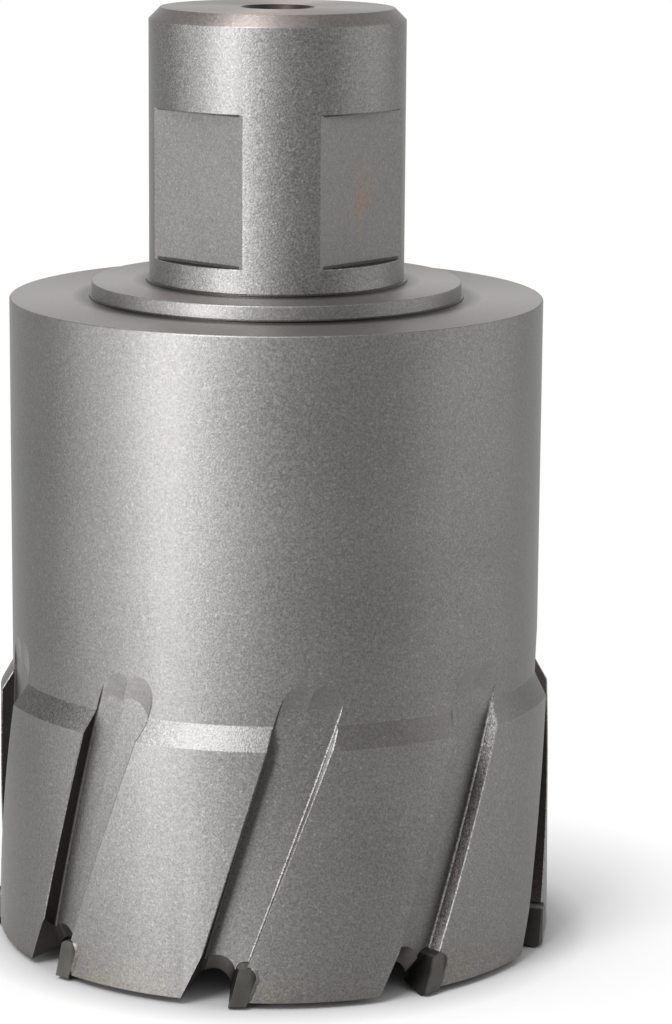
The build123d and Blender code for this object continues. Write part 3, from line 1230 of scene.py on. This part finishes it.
@dataclass(frozen=True)
class BlastedSteel:
    """Bead-blasted tool steel: a fine sparkling grain, with the milled places left smooth.

    Sizes, centres and reaches are in millimetres. A border is the range of a noise over which
    one look turns into the other, and a fade the range over which a mark runs out.
    """

    sizes: CutterSizes
    base: Colour = (0.1265, 0.1243, 0.1215)
    warm_tone: Colour = (0.126, 0.108, 0.101)
    straw: Colour = (0.172, 0.148, 0.114)
    rose: Colour = (0.137, 0.112, 0.109)
    rust: Colour = (0.2, 0.115, 0.055)
    grain_size: float = 0.24
    grain_contrast: float = 0.19
    grain_depth: float = 0.03
    grain_strength: float = 0.5
    grain_gain: Pair = (0.15, 3.6)
    coarsest_grain: float = 4.0
    spark_size: float = 0.4
    spark_border: Pair = (0.62, 0.74)
    spark_gain: float = 0.3
    mottle_size: float = 0.55
    mottle_contrast: float = 0.06
    cloud_size: float = 14.0
    cloud_contrast: float = 0.05
    smooth_roughness: float = 0.38
    blasted_roughness: float = 0.53
    roughness_sway: float = 0.12
    stretch: float = 0.6
    stretch_turn: float = 0.25
    heat_strength: float = 0.42
    heat_centre: Pair = (6.0, 0.5)
    heat_reach: Pair = (12.0, 4.0)
    heat_fade: Pair = (1.3, 0.1)
    heat_cloud: float = 2.2
    heat_sway: float = 0.3
    tint_size: float = 3.5
    tint_border: Pair = (0.42, 0.58)
    smudge_strength: float = 0.3
    smudge_place: tuple[float, float, float] = (10.4, -9.7, 94.6)
    smudge_reach: tuple[float, float, float] = (2.2, 2.2, 5.0)
    smudge_fade: Pair = (1.0, 0.2)
    smudge_cloud: float = 1.6
    smudge_sway: float = 0.4
    # Painted shade in the corners of the flat rings and along the flats' ledges: its darkest tone and its
    # fades
    corner_shade_tone: float = 0.33
    step_fade: Pair = (0.7, 2.3)
    foot_fade: Pair = (0.2, 1.7)
    ring_depth: Pair = (0.33, 0.4)
    low_ledge_depth: Pair = (0.33, 0.43)
    high_ledge_depth: Pair = (0.16, 0.26)
    ledge_inset: Pair = (-0.275, -0.175)

    def heat(self, n: Nodes, place: Socket) -> Socket:
        """How strongly the brazing heat has tinted a place near a tip, from 0 to 1.

        With the angle a about the axis taken modulo the tips' spacing, s = a R is the arc
        behind a tip. The tint fades with sqrt(((s - c) / p)^2 + ((z - d) / q)^2), where (c, d)
        is its centre and (p, q) its reach.

        Args:
            n: The material's nodes.
            place: Object coordinates.

        Returns:
            The socket of the tint.
        """
        z = self.sizes
        x, y, height = n.parts(place)
        angle = n.math("ARCTAN2", x, n.math("MULTIPLY", y, -1.0))
        spacing = 2 * pi / z.tip_count
        lead = radians(z.first_tip_angle) - spacing / 4
        local = n.math("FLOORED_MODULO", n.math("SUBTRACT", angle, lead), spacing)
        behind = n.math("MULTIPLY", n.math("SUBTRACT", local, spacing / 4), z.face_radius)
        places = (behind, n.math("DIVIDE", height, MM))
        squares = []
        for value, centre, reach in zip(places, self.heat_centre, self.heat_reach):
            away = n.math("DIVIDE", n.math("SUBTRACT", value, centre), reach)
            squares.append(n.math("MULTIPLY", away, away))
        distance = n.math("SQRT", n.math("ADD", *squares))
        cloud = n.sway(n.noise(place, self.heat_cloud, 3.0), self.heat_sway)
        return n.span(n.math("ADD", distance, cloud), *self.heat_fade)

    def smudge(self, n: Nodes, place: Socket) -> Socket:
        """Faint rust on the right flat: 1 at its middle and 0 beyond its reach.

        Args:
            n: The material's nodes.
            place: Object coordinates.

        Returns:
            The socket of the rust.
        """
        middle = tuple(value * MM for value in self.smudge_place)
        scale = tuple(1.0 / (value * MM) for value in self.smudge_reach)
        away = n.vector("MULTIPLY", n.vector("SUBTRACT", place, middle), scale)
        cloud = n.sway(n.noise(place, self.smudge_cloud, 3.0), self.smudge_sway)
        return n.span(n.math("ADD", n.vector("LENGTH", away), cloud), *self.smudge_fade)

    def painted_corner_shade(self, n: Nodes, place: Socket) -> Socket:
        """Painted shade in the corners of the flat rings and along the flats' ledges, from 0 to 1.

        A line of painted shade is a circle of radius R at height Z. It fades outwards with r - R, and up
        and down with |z - Z|, each from the start of a fade to its end. The ledges' lines end
        short of the shank's wall.

        Args:
            n: The material's nodes.
            place: Object coordinates.

        Returns:
            The socket of the painted shade.
        """
        z = self.sizes
        radius, height = n.radius(place), n.parts(place)[2]
        # Radius and height of each line of painted shade, and its fades outwards and up or down
        lines = (
            (z.step_radius, z.body_top, self.step_fade, self.ring_depth),
            (z.foot_radius, z.flange_top, self.foot_fade, self.ring_depth),
            (z.shank_radius, z.flat_bottom, self.ledge_inset, self.low_ledge_depth),
            (z.shank_radius, z.flat_top, self.ledge_inset, self.high_ledge_depth),
        )
        corner_shade = 0.0
        for line_radius, level, outward, upright in lines:
            away = n.math("ABSOLUTE", n.math("SUBTRACT", height, level * MM))
            near = n.fade(radius, outward, 1.0, 0.0, line_radius)
            corner_shade = n.math("MAXIMUM", corner_shade, n.math("MULTIPLY", near, n.fade(away, upright, 1.0, 0.0)))
        return corner_shade

    def material(self) -> bpy.types.Material:
        """Builds the finish, with painted shade in the corners of the flat rings and along the flats'
        ledges.

        Returns:
            The material, which reads the body's attributes "grain", "tone" and "warm".
        """
        steel = bpy.data.materials.new("blasted_steel")
        n = Nodes(steel)
        place = n.place()
        grain, tone, warm = (
            n.add("ShaderNodeAttribute", {"attribute_name": name}).outputs["Fac"]
            for name in ("grain", "tone", "warm")
        )
        fine = n.noise(place, self.grain_size, 1.0)
        tint = n.blend(n.span(n.noise(place, self.tint_size), *self.tint_border), self.straw, self.rose)
        colour = n.blend(warm, self.base, self.warm_tone)
        colour = n.blend(n.math("MULTIPLY", self.heat(n, place), self.heat_strength), colour, tint)
        rusty = n.math("MULTIPLY", self.smudge(n, place), self.smudge_strength)
        colour = n.blend(rusty, colour, self.rust)

        spark = n.span(n.noise(place, self.spark_size, 1.0), *self.spark_border, 0.0, self.spark_gain)
        speck = n.math("ADD", n.sway(fine, self.grain_contrast), spark)
        speck = n.math("MULTIPLY", speck, n.span(grain, 0.0, self.coarsest_grain, *self.grain_gain))
        cloud = n.sway(n.noise(place, self.cloud_size, 3.0), self.cloud_contrast)
        mottle = n.sway(n.noise(place, self.mottle_size), self.mottle_contrast)
        worn = n.math("ADD", n.math("ADD", speck, cloud), mottle)
        scale = n.math("MULTIPLY", n.math("ADD", worn, 1.0), tone)
        # Painted shade darkens the corners of the flat rings and the flats' ledges.
        unshaded = n.span(self.painted_corner_shade(n, place), 0.0, 1.0, 1.0, self.corner_shade_tone)
        scale = n.math("MULTIPLY", scale, unshaded)
        rough = n.span(grain, 0.0, 1.0, self.smooth_roughness, self.blasted_roughness)
        n.metal(
            Base_Color=n.blend(1.0, colour, n.grey(scale), "MULTIPLY"),
            Roughness=n.math("ADD", rough, n.math("MULTIPLY", worn, self.roughness_sway)),
            Anisotropic=self.stretch,
            Anisotropic_Rotation=self.stretch_turn,
            Tangent=n.add("ShaderNodeTangent", {"direction_type": "RADIAL", "axis": "Z"}).outputs[0],
            Normal=n.bump(n.math("MULTIPLY", fine, grain), self.grain_strength, self.grain_depth),
        )
        return steel


@dataclass(frozen=True)
class SinteredCarbide:
    """Ground sintered carbide: darker and a little browner than the steel."""

    sizes: CutterSizes
    ground: Colour = (0.078, 0.075, 0.069)
    sintered: Colour = (0.034, 0.032, 0.03)
    brazed: Colour = (0.085, 0.081, 0.074)
    roughness: float = 0.4
    roughness_sway: float = 0.05
    grain_size: float = 0.12
    grain_contrast: float = 0.12
    cloud_size: float = 2.5
    cloud_contrast: float = 0.1
    bump_strength: float = 0.15
    bump_depth: float = 0.01
    ground_fade: Pair = (0.1, 0.2)
    crown_fade: Pair = (4.8, 5.0)

    def material(self) -> bpy.types.Material:
        """Builds the finish.

        Returns:
            The material: brightest on the outer faces, which are ground on the cutting circle,
            and on the crowns, which braze has run over.
        """
        carbide = bpy.data.materials.new("sintered_carbide")
        n = Nodes(carbide)
        place = n.place()
        fine, cloud = n.noise(place, self.grain_size), n.noise(place, self.cloud_size)
        scale = n.math("ADD", n.sway(fine, self.grain_contrast, 1.0), n.sway(cloud, self.cloud_contrast))
        outer = n.fade(n.radius(place), self.ground_fade, 0.0, 1.0, self.sizes.face_radius)
        high = n.fade(n.parts(place)[2], self.crown_fade, 0.0, 1.0)
        crown = n.math("MULTIPLY", high, n.math("SUBTRACT", 1.0, outer))
        tone = n.blend(crown, n.blend(outer, self.sintered, self.ground), self.brazed)
        n.metal(
            Base_Color=n.blend(1.0, tone, n.grey(scale), "MULTIPLY"),
            Roughness=n.sway(cloud, self.roughness_sway, self.roughness),
            Normal=n.bump(fine, self.bump_strength, self.bump_depth),
        )
        return carbide


@dataclass(frozen=True)
class SilverBraze:
    """Silver braze that has flowed out of the seam, dulled and a little yellow."""

    base: Colour = (0.15, 0.142, 0.128)
    stain: Colour = (0.118, 0.103, 0.09)
    roughness: float = 0.68
    stain_size: float = 0.8
    stain_border: Pair = (0.4, 0.62)
    grain_size: float = 0.3
    bump_strength: float = 0.4
    bump_depth: float = 0.03

    def material(self) -> bpy.types.Material:
        """Builds the finish.

        Returns:
            The material, with stains in patches.
        """
        braze = bpy.data.materials.new("silver_braze")
        n = Nodes(braze)
        place = n.place()
        stained = n.span(n.noise(place, self.stain_size, 3.0), *self.stain_border)
        n.metal(
            Base_Color=n.blend(stained, self.base, self.stain),
            Roughness=self.roughness,
            Normal=n.bump(n.noise(place, self.grain_size), self.bump_strength, self.bump_depth),
        )
        return braze


@dataclass(frozen=True)
class Lamp:
    """Soft lamp that looks at the cutter's middle.

    Its azimuth is in degrees about the axis from the camera's side, + to the right, and its
    elevation in degrees above the cutter's middle. The rest is in metres and watts.
    """

    name: str
    azimuth: float
    elevation: float
    distance: float
    size: Pair
    power: float
    aim: tuple[float, float, float] = (0.0, 0.0, 0.055)

    def build(self) -> None:
        """Hangs the lamp."""
        light = bpy.data.lights.new(self.name, "AREA")
        light.shape = "RECTANGLE"
        light.size, light.size_y = self.size
        light.energy = self.power
        lamp = bpy.data.objects.new(self.name, light)
        aim, a, e = Vector(self.aim), radians(self.azimuth), radians(self.elevation)
        lamp.location = aim + self.distance * Vector((sin(a) * cos(e), -cos(a) * cos(e), sin(e)))
        lamp.rotation_euler = (aim - lamp.location).to_track_quat("-Z", "Y").to_euler()
        bpy.context.scene.collection.objects.link(lamp)


@dataclass(frozen=True)
class PhotoCamera:
    """Camera fitted to the photograph: metres, degrees, and its focal length in pixels."""

    distance: float = 0.453
    height: float = 0.1473
    yaw: float = 0.963
    pitch: float = 11.659
    roll: float = 0.429
    focal: float = 3661.7
    picture_height: float = 1024.0
    sensor: float = 36.0
    nearest: float = 0.01

    def build(self) -> None:
        """Sets the camera up as the scene's own.

        It looks along f, turned by the yaw and tilted down by the pitch. Its other two axes
        are the level one and the one square to both, turned about f by the roll.
        """
        yaw, pitch, roll = radians(self.yaw), radians(self.pitch), radians(self.roll)
        forward = Vector((sin(yaw) * cos(pitch), cos(yaw) * cos(pitch), -sin(pitch)))
        level = Vector((cos(yaw), -sin(yaw), 0.0))
        upright = level.cross(forward)
        across = cos(roll) * level + sin(roll) * upright
        up = -sin(roll) * level + cos(roll) * upright
        lens = bpy.data.cameras.new("camera")
        camera = bpy.data.objects.new("camera", lens)
        turn = Matrix((across, up, -forward)).transposed().to_4x4()
        camera.matrix_world = Matrix.Translation((0.0, -self.distance, self.height)) @ turn
        lens.sensor_width = self.sensor
        lens.sensor_fit = "AUTO"
        lens.lens = self.focal / self.picture_height * self.sensor
        lens.clip_start = self.nearest
        bpy.context.scene.collection.objects.link(camera)
        bpy.context.scene.camera = camera


@dataclass(frozen=True)
class Studio:
    """Pale floor, soft lamps, white surroundings and the camera at the photograph's place.

    The ring of the painted contact shadow and the fade are distances from the axis; the fade's own
    centre is moved towards the camera by its shift. These and the floor's other sizes are in millimetres.
    """

    ambient: float = 2.7
    floor_tone: float = 0.236
    floor_sway: float = 0.005
    floor_size: float = 3000.0
    cloud_size: float = 400.0
    contact_shadow_reach: Pair = (34.0, 41.0)
    contact_shadow_tone: float = 0.66
    fade_reach: Pair = (38.0, 68.0)
    fade_shift: float = 7.0
    lamps: tuple[Lamp, ...] = (
        Lamp("key", -45.0, 2.0, 0.8, (0.3, 0.4), 8.3),
        Lamp("wide_key", -66.0, 2.0, 0.8, (0.8, 0.4), 6.4),
        Lamp("high_key", -34.0, 47.0, 0.8, (0.3, 0.28), 13.0),
        Lamp("side", 88.0, 12.0, 0.9, (0.9, 0.6), 4.2),
        Lamp("top", -30.0, 72.0, 0.9, (0.8, 0.8), 4.0),
    )

    def floor_paint(self) -> bpy.types.Material:
        """Matt pale paint that fades to the white surroundings away from the cutter.

        Returns:
            The material: a painted shadow in the ring of contact under the tips, and plain white, for
            the rays that show the background, beyond the fade.
        """
        paint = bpy.data.materials.new("floor_paint")
        n = Nodes(paint)
        place = n.place()
        tone = n.sway(n.noise(place, self.cloud_size), self.floor_sway, self.floor_tone)
        # Painted shadow: the floor is darker in a ring round the tips.
        contact_shadow = n.fade(n.vector("LENGTH", place), self.contact_shadow_reach, self.contact_shadow_tone, 1.0)
        painted = n.add("ShaderNodeBsdfDiffuse", Color=n.grey(n.math("MULTIPLY", tone, contact_shadow)))
        moved = n.vector("ADD", place, (0.0, self.fade_shift * MM, 0.0))
        far = n.fade(n.vector("LENGTH", moved), self.fade_reach, 0.0, 1.0)
        away = n.math("MULTIPLY", n.seen(), far)
        white = n.add("ShaderNodeEmission", Color=WHITE, Strength=1.0)
        shader = n.add("ShaderNodeMixShader", in_0=away, in_1=painted.outputs[0], in_2=white.outputs[0])
        n.add("ShaderNodeOutputMaterial", Surface=shader.outputs[0])
        return paint

    def floor(self) -> bpy.types.Object:
        """Lays the plain pale floor under the tips.

        Returns:
            The floor, which is staging and no piece of the cutter.
        """
        half = self.floor_size / 2
        corners = np.array([[-half, -half, 0.0], [half, -half, 0.0], [half, half, 0.0], [-half, half, 0.0]])
        mesh = bpy.data.meshes.new("floor")
        mesh.from_pydata((corners * MM).tolist(), [], [[0, 1, 2, 3]])
        mesh.materials.append(self.floor_paint())
        ground = bpy.data.objects.new("floor", mesh)
        bpy.context.scene.collection.objects.link(ground)
        return ground

    def world(self) -> None:
        """Soft surroundings that the camera, metal and glass see as white."""
        surroundings = bpy.data.worlds.new("surroundings")
        bpy.context.scene.world = surroundings
        n = Nodes(surroundings)
        strength = n.span(n.seen(), 0.0, 1.0, self.ambient, 1.0)
        background = n.add("ShaderNodeBackground", Color=WHITE, Strength=strength)
        n.add("ShaderNodeOutputWorld", Surface=background.outputs[0])

    def build(self) -> None:
        """Sets up everything round the cutter."""
        self.floor()
        self.world()
        for lamp in self.lamps:
            lamp.build()
        PhotoCamera().build()
        bpy.context.scene.view_settings.view_transform = "Standard"


def main() -> None:
    """Builds the cutter, its finishes and the studio."""
    logging.basicConfig(level=logging.INFO, format="%(name)s: %(message)s")
    sizes = CutterSizes()
    steel = BlastedSteel(sizes).material()
    carbide = SinteredCarbide(sizes).material()
    body = SteelBody(sizes).build()
    body.data.materials.append(steel)
    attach(body, BODY)
    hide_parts("cutter_body")
    log.info("steel body: %d faces", len(body.data.polygons))
    bead = BrazeBead(sizes, Pocket(sizes)).build()
    bead.data.materials.append(SilverBraze().material())
    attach(bead, BODY)
    log.info("braze bead: %d faces", len(bead.data.polygons))
    for name, node in frame["nodes"].items():
        if name.startswith("carbide_tip"):
            for slot in node.material_slots:
                slot.material = carbide
            log.info("%s: dressed", name)
    Studio().build()


if __name__ == "__main__":
    main()
